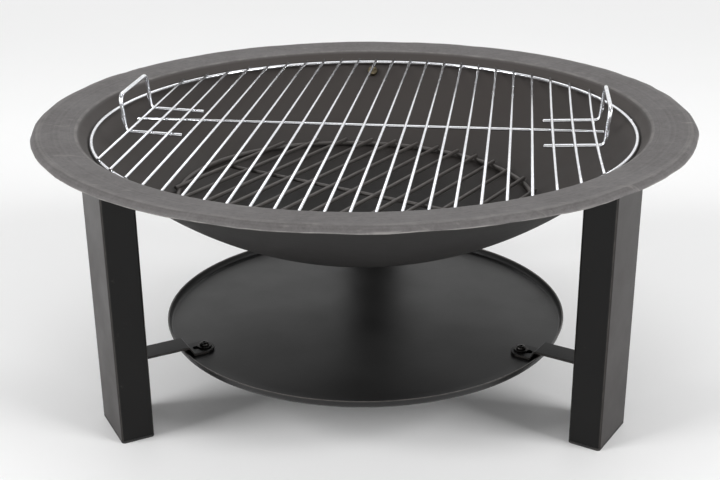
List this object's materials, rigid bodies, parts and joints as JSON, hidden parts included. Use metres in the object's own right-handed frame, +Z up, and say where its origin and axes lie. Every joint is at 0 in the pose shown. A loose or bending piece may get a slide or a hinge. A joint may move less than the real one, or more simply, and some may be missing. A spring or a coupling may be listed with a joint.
{
  "type": "fire pit with grate",
  "caption": "Round steel fire bowl with a flat rim on tube legs, with a lift-out wire cooking grate, a charcoal grate below it and a dished log shelf under the bowl.",
  "frame": {"origin": "floor level on the vertical axis of the fire bowl", "axes": "+Z up; -Y towards the viewer; one leg stands straight behind the bowl on +Y and the other two at 210 and 330 degrees from +X"},
  "size_m": [0.8, 0.8, 0.3812],
  "materials": {
    "bowl_paint": "matt dark grey heat-resistant paint, faintly worn at the rim",
    "leg_paint": "satin black heat-resistant paint",
    "shelf_paint": "satin black paint",
    "grate_chrome": "bright chrome plated wire",
    "charcoal_wire": "matt dark grey painted wire",
    "yellow_zinc": "yellow passivated zinc plating",
    "black_oxide": "black oxide",
    "foot_plastic": "black moulded plastic"
  },
  "bodies": {
    "stand": {"bowl": "bowl_paint", "shelf": "shelf_paint", "leg_1": "leg_paint", "leg_saddle_1": "leg_paint", "foot_1": "foot_plastic", "bowl_bolt_1": "yellow_zinc", "bowl_nut_1": "yellow_zinc", "shelf_strap_1": "leg_paint", "shelf_screw_1": "black_oxide", "shelf_washer_1": "black_oxide", "shelf_nut_1": "black_oxide", "leg_2": "leg_paint", "leg_saddle_2": "leg_paint", "foot_2": "foot_plastic", "bowl_bolt_2": "yellow_zinc", "bowl_nut_2": "yellow_zinc", "shelf_strap_2": "leg_paint", "shelf_screw_2": "black_oxide", "shelf_washer_2": "black_oxide", "shelf_nut_2": "black_oxide", "leg_3": "leg_paint", "leg_saddle_3": "leg_paint", "foot_3": "foot_plastic", "bowl_bolt_3": "yellow_zinc", "bowl_nut_3": "yellow_zinc", "shelf_strap_3": "leg_paint", "shelf_screw_3": "black_oxide", "shelf_washer_3": "black_oxide", "shelf_nut_3": "black_oxide"},
    "charcoal_basket": {"charcoal_grate": "charcoal_wire"},
    "cooking_grate": {"grate_ring": "grate_chrome", "grate_cross_wire": "grate_chrome", "grate_handle_left": "grate_chrome", "grate_handle_right": "grate_chrome", "grate_bar_01": "grate_chrome", "grate_bar_02": "grate_chrome", "grate_bar_03": "grate_chrome", "grate_bar_04": "grate_chrome", "grate_bar_05": "grate_chrome", "grate_bar_06": "grate_chrome", "grate_bar_07": "grate_chrome", "grate_bar_08": "grate_chrome", "grate_bar_09": "grate_chrome", "grate_bar_10": "grate_chrome", "grate_bar_11": "grate_chrome", "grate_bar_12": "grate_chrome", "grate_bar_13": "grate_chrome", "grate_bar_14": "grate_chrome", "grate_bar_15": "grate_chrome", "grate_bar_16": "grate_chrome", "grate_bar_17": "grate_chrome", "grate_bar_18": "grate_chrome", "grate_bar_19": "grate_chrome", "grate_bar_20": "grate_chrome", "grate_bar_21": "grate_chrome", "grate_bar_22": "grate_chrome", "grate_bar_23": "grate_chrome"}
  },
  "joints": [
    {"name": "charcoal_grate_lift", "type": "slide", "parent": "stand", "child": "charcoal_basket", "axis": [0, 0, 1], "range_m": [0, 0.2]},
    {"name": "cooking_grate_lift", "type": "slide", "parent": "charcoal_basket", "child": "cooking_grate", "axis": [0, 0, 1], "range_m": [0, 0.25]}
  ]
}
